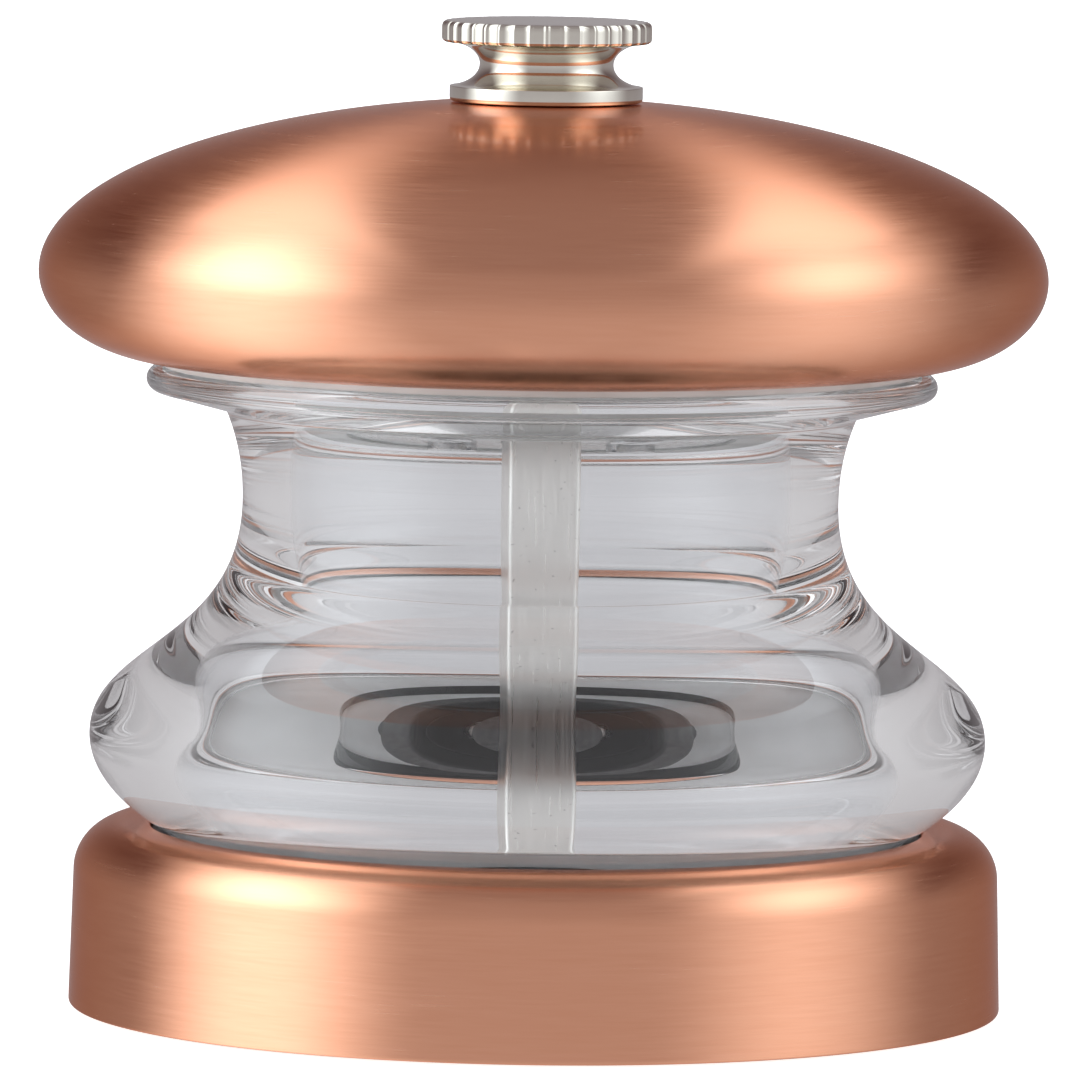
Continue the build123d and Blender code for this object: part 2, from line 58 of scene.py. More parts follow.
def bezierPoints(start, pullA, pullB, end, steps=32):
    # leaves out the start, which the outline already holds
    points = []
    for step in range(1, steps + 1):
        t = step / steps
        weights = ((1 - t) ** 3, 3 * t * (1 - t) ** 2, 3 * t * t * (1 - t), t**3)
        weighted = list(zip(weights, (start, pullA, pullB, end)))
        points.append(tuple(sum(w * p[i] for w, p in weighted) for i in (0, 1)))
    return points


def arcPoints(centre, radiusX, radiusZ, fromDeg, toDeg, steps=24):
    points = []
    for step in range(steps + 1):
        angle = math.radians(fromDeg + (toDeg - fromDeg) * step / steps)
        points.append((centre[0] + radiusX * math.cos(angle), centre[1] + radiusZ * math.sin(angle)))
    return points


def easeCorner(before, corner, after, size, steps=6):
    # a corner worn round: a small curve in place of the point
    here = Vector(corner)
    towards = (Vector(before) - here).normalized() * size
    onward = (Vector(after) - here).normalized() * size
    points = [tuple(here + towards)]
    for step in range(1, steps):
        t = step / steps
        points.append(tuple(here + towards * (1 - t) ** 2 + onward * t**2))
    return points + [tuple(here + onward)]


weldGap = 1e-8  # metres, points nearer than this are one


def meshFrom(name, bm, sharpDeg=35):
    bmesh.ops.remove_doubles(bm, verts=bm.verts, dist=weldGap)
    bmesh.ops.recalc_face_normals(bm, faces=bm.faces)
    mesh = bpy.data.meshes.new(name)
    bm.to_mesh(mesh)
    bm.free()
    mesh.shade_smooth()
    mesh.set_sharp_from_angle(angle=math.radians(sharpDeg))
    piece = bpy.data.objects.new(name, mesh)
    scene.collection.objects.link(piece)
    return piece


def lathe(name, outline, segments=320, sharpDeg=40, waver=None):
    # turns a closed outline round Z; waver(angle, radius, height) may change the radius
    bm = bmesh.new()
    rings = []
    for radius, height in outline:
        if radius == 0:
            rings.append([bm.verts.new((0, 0, height * mm))] * segments)
            continue
        ring = []
        for index in range(segments):
            angle = fullTurn * index / segments
            r = radius if waver is None else waver(angle, radius, height)
            ring.append(bm.verts.new((r * math.cos(angle) * mm, r * math.sin(angle) * mm, height * mm)))
        rings.append(ring)
    for low, high in zip(rings, rings[1:] + rings[:1]):
        for index in range(segments):
            after = (index + 1) % segments
            corners = []
            for corner in (low[index], low[after], high[after], high[index]):
                if corner not in corners:
                    corners.append(corner)
            if len(corners) > 2:
                bm.faces.new(corners)
    return meshFrom(name, bm, sharpDeg)


# Small helpers for node trees

def newMaterial(name):
    material = bpy.data.materials.new(name)
    material.use_nodes = True
    return material, material.node_tree, material.node_tree.nodes["Principled BSDF"]


def plug(tree, node, key, value):
    # key is a socket's name with _ for a space, or its number after an i
    index = int(key[1:]) if key[0] == "i" and key[1:].isdigit() else key.replace("_", " ")
    socket = node.inputs[index]
    if isinstance(value, bpy.types.NodeSocket):
        tree.links.new(value, socket)
    else:
        socket.default_value = value


def addNode(tree, kind, settings=(), **links):
    node = tree.nodes.new(kind)
    for key, value in dict(settings).items():
        setattr(node, key, value)
    for key, value in links.items():
        plug(tree, node, key, value)
    return node


def mathNode(tree, operation, a, b=0.0):
    return addNode(tree, "ShaderNodeMath", {"operation": operation}, i0=a, i1=b).outputs[0]


def product(tree, first, *others):
    for other in others:
        first = mathNode(tree, "MULTIPLY", first, other)
    return first


def rest(tree, share):
    return mathNode(tree, "SUBTRACT", 1.0, share)


def fromAxis(tree, x, y):
    return mathNode(tree, "SQRT", mathNode(tree, "ADD", product(tree, x, x), product(tree, y, y)))


def spread(tree, value, low, high, outLow, outHigh):
    ends = {"i1": low, "i2": high, "i3": outLow, "i4": outHigh}
    return addNode(tree, "ShaderNodeMapRange", {"clamp": True}, i0=value, **ends).outputs[0]


def ramp(tree, value, start, end):
    # from 0 at start to 1 at end, eased at both
    ends = {"i1": start, "i2": end, "i3": 0.0, "i4": 1.0}
    settings = {"interpolation_type": "SMOOTHSTEP"}
    return addNode(tree, "ShaderNodeMapRange", settings, i0=value, **ends).outputs[0]


def fade(tree, share, first, second):
    return addNode(tree, "ShaderNodeMix", i0=share, i2=first, i3=second).outputs[0]


def mixColour(tree, share, first, second):
    return addNode(tree, "ShaderNodeMix", {"data_type": "RGBA"}, i0=share, i6=first, i7=second).outputs[2]


def noise(tree, vector, scale=1.0, detail=2.0, roughness=0.5):
    settings = {"Scale": scale, "Detail": detail, "Roughness": roughness}
    return addNode(tree, "ShaderNodeTexNoise", Vector=vector, **settings).outputs["Fac"]


def place(tree):
    return addNode(tree, "ShaderNodeTexCoord").outputs["Object"]


leastRadius = 1e-5  # metres, keeps the marks finite on the axis


def roundAxis(tree, around, across):
    # changes slowly round the axis and fast along the outline: turned and brushed marks
    x, y, z = addNode(tree, "ShaderNodeSeparateXYZ", Vector=place(tree)).outputs
    radius = fromAxis(tree, x, y)
    safe = mathNode(tree, "MAXIMUM", radius, leastRadius)
    along = product(tree, mathNode(tree, "SUBTRACT", radius, z), across)
    turnX = product(tree, mathNode(tree, "DIVIDE", x, safe), around)
    turnY = product(tree, mathNode(tree, "DIVIDE", y, safe), around)
    return addNode(tree, "ShaderNodeCombineXYZ", X=turnX, Y=turnY, Z=along).outputs[0]


def bump(tree, shader, height, strength, depthMm, edgeMm=0.0):
    # edgeMm also softens the edges in the shading
    node = addNode(tree, "ShaderNodeBump", Strength=strength, Distance=depthMm * mm, Height=height)
    if edgeMm:
        soft = addNode(tree, "ShaderNodeBevel", {"samples": 4}, Radius=edgeMm * mm)
        tree.links.new(soft.outputs[0], node.inputs["Normal"])
    tree.links.new(node.outputs[0], shader.inputs["Normal"])


# Finishes: a bump is its strength, its depth and any softened edge in millimetres

marksSpan = (0.3, 0.7)  # most of a noise lies between these
cloudSpan = (0.35, 0.7)

copperLook = {
    "colour": (0.88, 0.435, 0.275, 1), "deeper": (0.84, 0.395, 0.24, 1),
    "edgeTint": (0.82, 0.54, 0.44, 1),  # at a grazing angle
    "roughness": (0.18, 0.28), "brushing": 0.6, "brushingTurn": 0.25,
    "streaksAround": 7.0, "streaksPerMetre": 5200.0, "streakShare": 0.7,
    "bandsAround": 2.0, "streaksPerBand": 9,
    "lacquer": 0.15, "lacquerRoughness": 0.08, "bump": (0.2, 0.02),
}


def makeCopper():
    material, tree, shader = newMaterial("brushedCopper")
    look = copperLook
    perMetre, share = look["streaksPerMetre"], look["streakShare"]
    fine = roundAxis(tree, look["streaksAround"], perMetre)
    wide = roundAxis(tree, look["bandsAround"], perMetre / look["streaksPerBand"])
    streak = noise(tree, fine, detail=3.0, roughness=0.6)
    band = noise(tree, wide)
    marks = mathNode(tree, "ADD", product(tree, streak, share), product(tree, band, 1 - share))
    between = spread(tree, marks, *marksSpan, 0, 1)
    shader.inputs["Metallic"].default_value = 1.0
    shader.inputs["Specular Tint"].default_value = look["edgeTint"]
    shader.inputs["Anisotropic"].default_value = look["brushing"]
    shader.inputs["Anisotropic Rotation"].default_value = look["brushingTurn"]
    shader.inputs["Coat Weight"].default_value = look["lacquer"]
    shader.inputs["Coat Roughness"].default_value = look["lacquerRoughness"]
    tangent = addNode(tree, "ShaderNodeTangent", {"direction_type": "RADIAL", "axis": "Z"})
    tree.links.new(tangent.outputs[0], shader.inputs["Tangent"])
    plug(tree, shader, "Base_Color", mixColour(tree, between, look["deeper"], look["colour"]))
    plug(tree, shader, "Roughness", spread(tree, marks, *marksSpan, *look["roughness"]))
    bump(tree, shader, marks, *look["bump"])
    return material


nickelLook = {
    "colour": (0.80, 0.765, 0.68, 1), "duller": (0.77, 0.735, 0.655, 1), "cloudScale": 900.0,
    "roughness": (0.05, 0.11), "marksAround": 3.0, "marksPerMetre": 9000.0, "bump": (0.06, 0.01),
}


def makeNickel():
    material, tree, shader = newMaterial("polishedNickel")
    look = nickelLook
    marks = noise(tree, roundAxis(tree, look["marksAround"], look["marksPerMetre"]))
    cloud = noise(tree, place(tree), look["cloudScale"], detail=3.0)
    between = spread(tree, cloud, *cloudSpan, 0, 1)
    shader.inputs["Metallic"].default_value = 1.0
    plug(tree, shader, "Base_Color", mixColour(tree, between, look["colour"], look["duller"]))
    plug(tree, shader, "Roughness", spread(tree, marks, *marksSpan, *look["roughness"]))
    bump(tree, shader, marks, *look["bump"])
    return material


acrylicLook = {
    "colour": (0.975, 0.98, 0.985, 1), "index": 1.49, "roughness": (0.0, 0.008),
    "scratchesAround": 5.0, "scratchesPerMetre": 6000.0, "hazeScale": 260.0, "hazeSpan": (0.22, 0.5),
}


def makeAcrylic():
    material, tree, shader = newMaterial("clearAcrylic")
    look = acrylicLook
    scratches = noise(tree, roundAxis(tree, look["scratchesAround"], look["scratchesPerMetre"]))
    haze = noise(tree, place(tree), look["hazeScale"], detail=4.0)
    wear = product(tree, scratches, haze)
    shader.inputs["Base Color"].default_value = look["colour"]
    shader.inputs["Transmission Weight"].default_value = 1.0
    shader.inputs["IOR"].default_value = look["index"]
    plug(tree, shader, "Roughness", spread(tree, wear, *look["hazeSpan"], *look["roughness"]))
    return material


aluminiumLook = {
    "colour": (0.93, 0.92, 0.89, 1), "roughness": (0.26, 0.42), "bump": (0.15, 0.015),
    "drawnScale": (5200, 5200, 160),  # marks drawn out along the bar
    "speck": (0.42, 0.41, 0.4, 1), "speckScale": 2600.0, "speckSpan": (0.70, 0.78), "speckShare": 0.55,
}


def makeAluminium():
    material, tree, shader = newMaterial("satinAluminium")
    look = aluminiumLook
    stretch = addNode(tree, "ShaderNodeMapping", Vector=place(tree), Scale=look["drawnScale"]).outputs[0]
    drawn = noise(tree, stretch, detail=3.0)
    specks = noise(tree, place(tree), look["speckScale"], detail=1.0)
    dirt = spread(tree, specks, *look["speckSpan"], 0, look["speckShare"])
    shader.inputs["Metallic"].default_value = 1.0
    plug(tree, shader, "Base_Color", mixColour(tree, dirt, look["colour"], look["speck"]))
    plug(tree, shader, "Roughness", spread(tree, drawn, *marksSpan, *look["roughness"]))
    bump(tree, shader, drawn, *look["bump"])
    return material


turnedLook = {"marksAround": 4.0, "cloudScale": 700.0, "dulled": 0.78, "bump": (0.15, 0.015, 0.12)}


def makeTurned(name, colour, roughness, marksPerMetre):
    material, tree, shader = newMaterial(name)
    look = turnedLook
    marks = noise(tree, roundAxis(tree, look["marksAround"], marksPerMetre), detail=3.0)
    cloud = noise(tree, place(tree), look["cloudScale"], detail=3.0)
    between = spread(tree, cloud, *cloudSpan, 0, 1)
    duller = tuple(look["dulled"] * c for c in colour[:3]) + (1,)
    shader.inputs["Metallic"].default_value = 1.0
    plug(tree, shader, "Base_Color", mixColour(tree, between, colour, duller))
    plug(tree, shader, "Roughness", spread(tree, marks, *marksSpan, *roughness))
    bump(tree, shader, marks, *look["bump"])
    return material


mouldedLook = {"cloudScale": 180.0, "palerTimes": 1.25, "palerPlus": 0.004, "bump": (0.12, 0.03, 0.2)}


def makeMoulded(name, colour, roughness, grain, shine=0.5):
    material, tree, shader = newMaterial(name)
    look = mouldedLook
    fine = noise(tree, place(tree), grain, detail=3.0)
    cloud = noise(tree, place(tree), look["cloudScale"])
    between = spread(tree, cloud, *cloudSpan, 0, 1)
    paler = tuple(min(1, look["palerTimes"] * c + look["palerPlus"]) for c in colour[:3]) + (1,)
    shader.inputs["Specular IOR Level"].default_value = shine
    plug(tree, shader, "Base_Color", mixColour(tree, between, colour, paler))
    plug(tree, shader, "Roughness", spread(tree, fine, *marksSpan, *roughness))
    bump(tree, shader, fine, *look["bump"])
    return material


copper = makeCopper()
nickel = makeNickel()
acrylic = makeAcrylic()
aluminium = makeAluminium()
steel = makeTurned("machinedSteel", (0.60, 0.60, 0.60, 1), roughness=(0.2, 0.36), marksPerMetre=5000.0)
zinc = makeTurned("zincPlate", (0.68, 0.69, 0.70, 1), roughness=(0.16, 0.3), marksPerMetre=3000.0)
blackPlastic = makeMoulded(
    "blackMoulding", (0.012, 0.012, 0.014, 1), roughness=(0.42, 0.58), grain=2400.0, shine=0.25)
whitePlastic = makeMoulded("paleMoulding", (0.82, 0.81, 0.78, 1), roughness=(0.4, 0.55), grain=2400.0)
silicone = makeMoulded("whiteSilicone", (0.86, 0.86, 0.85, 1), roughness=(0.5, 0.65), grain=3200.0)
print("materials made:", len(bpy.data.materials))


def standFor(piece, node, body, material):
    piece.data.materials.clear()
    piece.data.materials.append(material)
    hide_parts(node)
    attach(piece, body)


def boxMm(node):
    low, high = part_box(node)
    return low / mm, high / mm


# Clear body, with rises counted from its underside

bodyShape = {
    "footRadius": 24.4, "footTopRise": 1.9, "undercut": (2.8, 1.5),
    "bellyRise": 8.2, "bellyDrop": 2.6, "bellyFullness": 5.7, "bellyWall": 5.8,
    "waistRadius": 19.6, "waistRise": 23.8, "waistFullness": 9.7,
    "flareWidth": 1.2, "flareRise": 29.7, "flareFullness": 3.2, "flareEase": 0.35,
    "flangeRadius": 26.0, "flangeRound": 0.7, "flangeLift": 1.2,
    "boreRadius": 16.4, "mouthEase": 0.3,
    "shoulderRise": 17.8, "shoulderPull": (1.6, 2.0), "shoulderEase": 0.12,
    "chamberFullness": 3.8, "cornerLift": 0.1, "cornerEase": 0.35,
    "floorRise": 3.8, "floorFall": 0.5, "floorWidth": 6.7, "holeRadius": 13.68, "holeEase": 0.15,
}


def bodyOutside(low, high):
    # from the hole in the floor, round the foot, belly and waist, to the top of the flange
    shape = bodyShape
    foot, waist, belly = shape["footRadius"], shape["waistRadius"], high.x
    footTop = low.z + shape["footTopRise"]
    bellyZ = low.z + shape["bellyRise"]
    waistZ = low.z + shape["waistRise"]
    flareZ = low.z + shape["flareRise"]
    flare = waist + shape["flareWidth"]
    edge = shape["flangeRadius"] - shape["flangeRound"]
    flangeLow = flareZ + shape["flangeLift"]
    half = (high.z - flangeLow) / 2
    outline = [(shape["holeRadius"], low.z), (foot, low.z), (foot, footTop)]
    reach, rise = shape["undercut"]
    pullA = (foot + reach, footTop + rise)
    pullB = (belly, bellyZ - shape["bellyDrop"])
    outline += bezierPoints((foot, footTop), pullA, pullB, (belly, bellyZ))
    pullA = (belly, bellyZ + shape["bellyFullness"])
    pullB = (waist, waistZ - shape["waistFullness"])
    outline += bezierPoints((belly, bellyZ), pullA, pullB, (waist, waistZ), steps=56)
    bend = (waist, waistZ + shape["flareFullness"])  # one bend point, shared out to both pulls
    pullA = tuple(p + (b - p) * 2 / 3 for p, b in zip((waist, waistZ), bend))
    pullB = tuple(p + (b - p) * 2 / 3 for p, b in zip((flare, flareZ), bend))
    outline += bezierPoints((waist, waistZ), pullA, pullB, (flare, flareZ), steps=20)[:-1]
    outline += easeCorner(outline[-1], (flare, flareZ), (edge, flangeLow), shape["flareEase"])
    outline += arcPoints((edge, flangeLow + half), shape["flangeRound"], half, -90, 90, steps=16)
    return outline


def bodyInside(low, high):
    # from the mouth, down the bore and the chamber's wall, along the floor to its hole
    shape = bodyShape
    bore, hole = shape["boreRadius"], shape["holeRadius"]
    chamber = high.x - shape["bellyWall"]
    edge = shape["flangeRadius"] - shape["flangeRound"]
    bellyZ = low.z + shape["bellyRise"]
    shoulderZ = low.z + shape["shoulderRise"]
    floorZ = low.z + shape["floorRise"]
    floorSide = (hole + shape["floorWidth"], floorZ + shape["floorFall"])
    corner = (chamber, floorSide[1] + shape["cornerLift"])
    outline = easeCorner((edge, high.z), (bore, high.z), (bore, shoulderZ), shape["mouthEase"])
    out, down = shape["shoulderPull"]
    pullA = (bore + out, shoulderZ - down)
    pullB = (chamber, bellyZ + shape["chamberFullness"])
    outline += easeCorner((bore, high.z), (bore, shoulderZ), pullA, shape["shoulderEase"], steps=4)
    wall = bezierPoints((bore, shoulderZ), pullA, pullB, (chamber, bellyZ), steps=48)
    outline += wall[2:]  # the eased shoulder stands for the first two
    outline += easeCorner((chamber, bellyZ), corner, floorSide, shape["cornerEase"])
    outline += easeCorner(floorSide, (hole, floorZ), (hole, low.z), shape["holeEase"])
    return outline


def makeBody():
    low, high = boxMm("body")
    return lathe("body_clear", bodyOutside(low, high) + bodyInside(low, high), sharpDeg=30)


standFor(makeBody(), "body", "root", acrylic)


# Copper cap and base

capShape = {
    "edgeRadius": 25.0, "lowerHeight": 5.7, "domeHeight": 11.55, "wall": 0.9,
    "landRadius": 6.7, "holeRadius": 2.23,
}


def makeCap():
    shape = capShape
    low, high = boxMm("cap_shell")
    radius, edge, wall = high.x, shape["edgeRadius"], shape["wall"]
    lower, dome = shape["lowerHeight"], shape["domeHeight"]
    middle = low.z + lower
    landDeg = math.degrees(math.acos(shape["landRadius"] / radius))
    ceilingDeg = math.degrees(math.acos(shape["landRadius"] / (radius - wall)))
    outline = [(shape["holeRadius"], high.z)]
    outline += arcPoints((0, middle), radius, dome, landDeg, 0, steps=72)
    outline += arcPoints((edge, middle), radius - edge, lower, 0, -90, steps=48)[1:]
    outline.append((edge, low.z + wall / 2))
    outline += arcPoints((edge, middle), radius - edge - wall, lower - wall, -90, 0)
    outline += arcPoints((0, middle), radius - wall, dome - wall, 0, ceilingDeg, steps=36)[1:]
    outline.append((shape["holeRadius"], outline[-1][1]))
    return lathe("cap_dome", outline)


standFor(makeCap(), "cap_shell", "head", copper)

baseShape = {
    "shoulderRadius": 30.45, "shoulderRound": 3.2, "wall": 1.0, "mouthRadius": 25.33, "bevel": 0.3,
}


def makeBase():
    shape = baseShape
    low, high = boxMm("base_shell")
    foot, shoulder, turn, wall = high.x, shape["shoulderRadius"], shape["shoulderRound"], shape["wall"]
    inside, mouth, top = shoulder - wall, shape["mouthRadius"], high.z
    centre = (shoulder - turn, top - turn)
    outline = [(inside, low.z)]
    outline += easeCorner((inside, low.z), (foot, low.z), (shoulder, centre[1]), shape["bevel"])
    outline += arcPoints(centre, turn, turn, 0, 90, steps=28)
    outline += arcPoints((mouth + wall / 2, top - wall / 2), wall / 2, wall / 2, 90, 180, steps=10)
    outline.append((mouth, top - wall))
    outline += arcPoints(centre, turn - wall, turn - wall, 90, 0, steps=12)
    return lathe("base_band", outline)


standFor(makeBase(), "base_shell", "root", copper)
print("clear body, cap and base made")


# Knob

knobShape = {
    "collarRadius": 6.35, "collarHeight": 1.0, "collarEase": 0.04,
    "waistRadius": 4.4, "grooveDepth": 2.3,
    "rimHeight": 1.4, "rimRings": 5, "bevel": 0.3, "topBevel": 0.45, "topRingShare": 0.6,
    "flutes": 40, "fluteDepth": 0.12, "fluteShare": 0.42, "fluteReach": 0.1, "pointsPerFlute": 12,
    "boreRadius": 2.04, "boreDepth": 4.4,
}


def makeKnob():
    shape = knobShape
    low, high = boxMm("adjusting_knob")
    radius, collar, bore = high.x, shape["collarRadius"], shape["boreRadius"]
    ease, topEase = shape["bevel"], shape["topBevel"]
    boreTop = low.z + shape["boreDepth"]
    rimZ = high.z - shape["rimHeight"]
    grooveLow = low.z + shape["collarHeight"]
    middle, half = (rimZ + grooveLow) / 2, (rimZ - grooveLow) / 2
    centre = shape["waistRadius"] + shape["grooveDepth"]
    meetDeg = math.degrees(math.acos((centre - collar) / shape["grooveDepth"]))
    outline = [(0, boreTop), (bore, boreTop), (bore, low.z)]
    outline += easeCorner((0, low.z), (collar, low.z), (collar, grooveLow), ease)
    groove = arcPoints((centre, middle), shape["grooveDepth"], half, 180 + meetDeg, 90, steps=40)
    outline += easeCorner((collar, low.z), groove[0], groove[1], shape["collarEase"], steps=3)
    outline += groove[2:]
    outline += easeCorner((centre, rimZ), (radius, rimZ), (radius, high.z), ease, steps=8)
    straight = shape["rimHeight"] - ease - topEase
    gaps = shape["rimRings"] + 1
    outline += [(radius, rimZ + ease + straight * step / gaps) for step in range(1, gaps)]
    outline += easeCorner((radius, rimZ), (radius, high.z), (0, high.z), topEase, steps=8)
    outline += [(radius * shape["topRingShare"], high.z), (0, high.z)]
    depth, share, count = shape["fluteDepth"], shape["fluteShare"], shape["flutes"]
    fluteFrom = radius - topEase - shape["fluteReach"]

    def flute(angle, r, height):
        if height < rimZ or r < fluteFrom:
            return r
        across = abs((angle * count / fullTurn) % 1 - 0.5) / share  # 0 in the middle of a flute
        return r - depth * math.sqrt(max(0.0, 1 - across**2))

    return lathe("knob_knurled", outline, segments=count * shape["pointsPerFlute"], waver=flute)


standFor(makeKnob(), "adjusting_knob", "knob", nickel)


# Spindle and spring

spindleShape = {
    "side": 4.75, "corner": 0.4, "turnDeg": 7.0, "squareLow": 2.65, "squareHigh": 56.52, "endEase": 0.25,
    "pinRadius": 2.1, "pinBevel": 0.2, "grooveLow": 1.82, "grooveHigh": 2.28, "grooveRadius": 1.6,
    "threadRadius": 1.98, "threadDepth": 0.36, "pitch": 0.7, "tip": 0.3,
    "sunk": 0.05,  # how far the round ends run into the square bar
    "pointsAround": 64, "ringsPerTurn": 14,
}


def squareRing(side, corner, turnDeg, z, steps=6):
    points = []
    reach = (side / 2 - corner) * math.sqrt(2)
    turn = Matrix.Rotation(math.radians(turnDeg), 2)
    for quarter in range(4):
        centre = math.pi / 2 * quarter + math.pi / 4
        for step in range(steps + 1):
            angle = math.pi / 2 * (quarter + step / steps)
            x = reach * math.cos(centre) + corner * math.cos(angle)
            y = reach * math.sin(centre) + corner * math.sin(angle)
            points.append((*(turn @ Vector((x, y))), z))
    return points


def roundRing(radius, z, count):
    angles = [fullTurn * index / count for index in range(count)]
    return [(radius * math.cos(angle), radius * math.sin(angle), z) for angle in angles]


def addLoft(bm, rings):
    # closes a pile of rings with equal counts into one skin with flat ends
    loops = [[bm.verts.new(Vector(point) * mm) for point in ring] for ring in rings]
    for low, high in zip(loops, loops[1:]):
        for index in range(len(low)):
            after = (index + 1) % len(low)
            bm.faces.new((low[index], low[after], high[after], high[index]))
    bm.faces.new(list(reversed(loops[0])))
    bm.faces.new(loops[-1])


def addBar(bm):
    shape = spindleShape
    bottom, top, ease = shape["squareLow"], shape["squareHigh"], shape["endEase"]
    stations = [(bottom, ease), (bottom + ease, 0.0), (top - ease, 0.0), (top, ease)]
    rings = []
    for z, less in stations:
        rings.append(squareRing(shape["side"] - 2 * less, shape["corner"], shape["turnDeg"], z))
    addLoft(bm, rings)


def addPin(bm, bottom):
    shape = spindleShape
    pin, groove, bevel = shape["pinRadius"], shape["grooveRadius"], shape["pinBevel"]
    grooveLow, grooveHigh = shape["grooveLow"], shape["grooveHigh"]
    profile = [(pin - bevel, bottom), (pin, bottom + bevel), (pin, grooveLow), (groove, grooveLow)]
    profile += [(groove, grooveHigh), (pin, grooveHigh), (pin, shape["squareLow"] + shape["sunk"])]
    addLoft(bm, [roundRing(radius, z, shape["pointsAround"]) for radius, z in profile])


def addThread(bm, top):
    shape = spindleShape
    around, crest = shape["pointsAround"], shape["threadRadius"]
    bottom = shape["squareHigh"] - shape["sunk"]
    count = round((top - bottom) / shape["pitch"] * shape["ringsPerTurn"])
    rings = []
    for station in range(count + 1):
        z = bottom + (top - bottom) * station / count
        ring = []
        for index in range(around):
            angle = fullTurn * index / around
            phase = (z / shape["pitch"] - angle / fullTurn) % 1
            cut = shape["threadDepth"] * (1 - abs(2 * phase - 1))
            radius = min(crest - cut, crest - shape["tip"] + top - z)  # the tip is bevelled
            ring.append((radius * math.cos(angle), radius * math.sin(angle), z))
        rings.append(ring)
    addLoft(bm, rings)


def makeSpindle():
    low, high = boxMm("spindle")
    bm = bmesh.new()
    addBar(bm)
    addPin(bm, low.z)
    addThread(bm, high.z)
    return meshFrom("spindle_bar", bm, sharpDeg=32)


standFor(makeSpindle(), "spindle", "spindle", aluminium)

springShape = {"wire": 0.55, "turns": 3.25, "ringsPerTurn": 56, "pointsAround": 14}


def makeSpring():
    # round wire, pressed between the rotor's pocket and the thrust washer
    shape = springShape
    low, high = boxMm("rotor_spring")
    radius = high.x - shape["wire"] / 2
    zLow, zHigh = low.z + shape["wire"] / 2, high.z - shape["wire"] / 2
    turns, around = shape["turns"], shape["pointsAround"]
    count = round(turns * shape["ringsPerTurn"])
    rings = []
    for station in range(count + 1):
        angle = fullTurn * turns * station / count
        z = zLow + (zHigh - zLow) * station / count
        outward = Vector((math.cos(angle), math.sin(angle), 0))
        centre = outward * radius + Vector((0, 0, z))
        ring = []
        for index in range(around):
            turn = fullTurn * index / around
            aside = outward * math.cos(turn) + Vector((0, 0, math.sin(turn)))
            ring.append(centre + aside * shape["wire"] / 2)
        rings.append(ring)
    bm = bmesh.new()
    addLoft(bm, rings)
    spring = meshFrom("coil_spring", bm, sharpDeg=50)
    spring.data.materials.append(steel)
    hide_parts("rotor_spring")
    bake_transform(spring)


makeSpring()
print("knob, spindle and spring made")


# Finishes of the nodes that keep their solids

finishes = {
    steel: [
        "drive_plate", "grinder_rotor", "grinder_ring", "ring_retainer",
        "thrust_washer", "rotor_washer", "rotor_clip",
    ],
    zinc: ["drive_plate_screws", "carrier_screws", "retainer_screws"],
    blackPlastic: ["base_insert", "mechanism_carrier", "bridge_plate", "spindle_bush"],
    whitePlastic: ["cap_insert"],
    silicone: ["base_gasket"],
}
for material, names in finishes.items():
    for name in names:
        mesh = nodes[name].data
        mesh.materials.clear()
        mesh.materials.append(material)
print("finishes given to the remaining nodes")


# Camera, in metres

view = {
    "distance": 0.82, "height": 0.1048, "aimHeight": 0.0308, "rollDeg": 0.8,
    "pixelsPerMm": 15.2, "frame": 1080, "sensorWidth": 36,
}


def makeCamera():
    data = bpy.data.cameras.new("camera")
    camera = bpy.data.objects.new("camera", data)
    scene.collection.objects.link(camera)
    drop = math.atan((view["height"] - view["aimHeight"]) / view["distance"])
    camera.location = (0, -view["distance"], view["height"])
    tilt = Matrix.Rotation(math.pi / 2 - drop, 4, "X")
    roll = Matrix.Rotation(math.radians(view["rollDeg"]), 4, "Z")
    camera.rotation_euler = (tilt @ roll).to_euler()
    data.sensor_width = view["sensorWidth"]
    pixelsPerMetre = view["pixelsPerMm"] / mm
    data.lens = pixelsPerMetre * view["distance"] / math.cos(drop) / view["frame"] * data.sensor_width
    scene.camera = camera


makeCamera()

# Light comes from the world alone: a softbox on each side that bends round a dark flag, in a dim room.
# Directions are degrees right of the camera's side, then degrees above the horizon. Edges are degrees from
# an aim, and a pair named over or from is the rise in degrees across which one level turns into another.

studio = {
    "boxes": [
        {"aim": (-111, -2), "edge": (43, 82), "level": 3.4, "lowLevel": 1.84, "lowOver": (-5, 32)},
        {"aim": (106, -5), "edge": (37, 78), "level": 3.4, "lowLevel": 1.12, "lowOver": (-5, 59)},
    ],
    "flags": [
        {"aim": (-142, 3.5), "edge": (26, 66), "stripEdge": (33, 40)},
        {"aim": (140, 0), "edge": (24, 75), "stripEdge": (36, 46)},
    ],
    "strip": {
        "pole": (98, -18), "low": (68, 71), "top": (85, 91),
        "behind": (-0.61, 0.49), "ownSide": (-0.02, 0.08),  # along the direction's own axes
        "share": 0.52,
    },
    "front": 0.42, "frontLow": 0.59, "lowOver": (-38, 37),
    "flag": 0.083, "flagLow": 0.325, "flagOver": (-6, 31),
    "ceiling": 0.32, "ceilingFrom": (46, 62),
    "tint": (0.93, 1.0, 1.04), "glow": (0.05, 0.0, 0.0),
    "through": (0.60, 0.60, 0.625, 1), "throughShare": 0.88,
    "inside": (0.85, 0.85, 0.86, 1), "insideShare": 0.55,
    "backdrop": (1, 1, 1, 1),
}


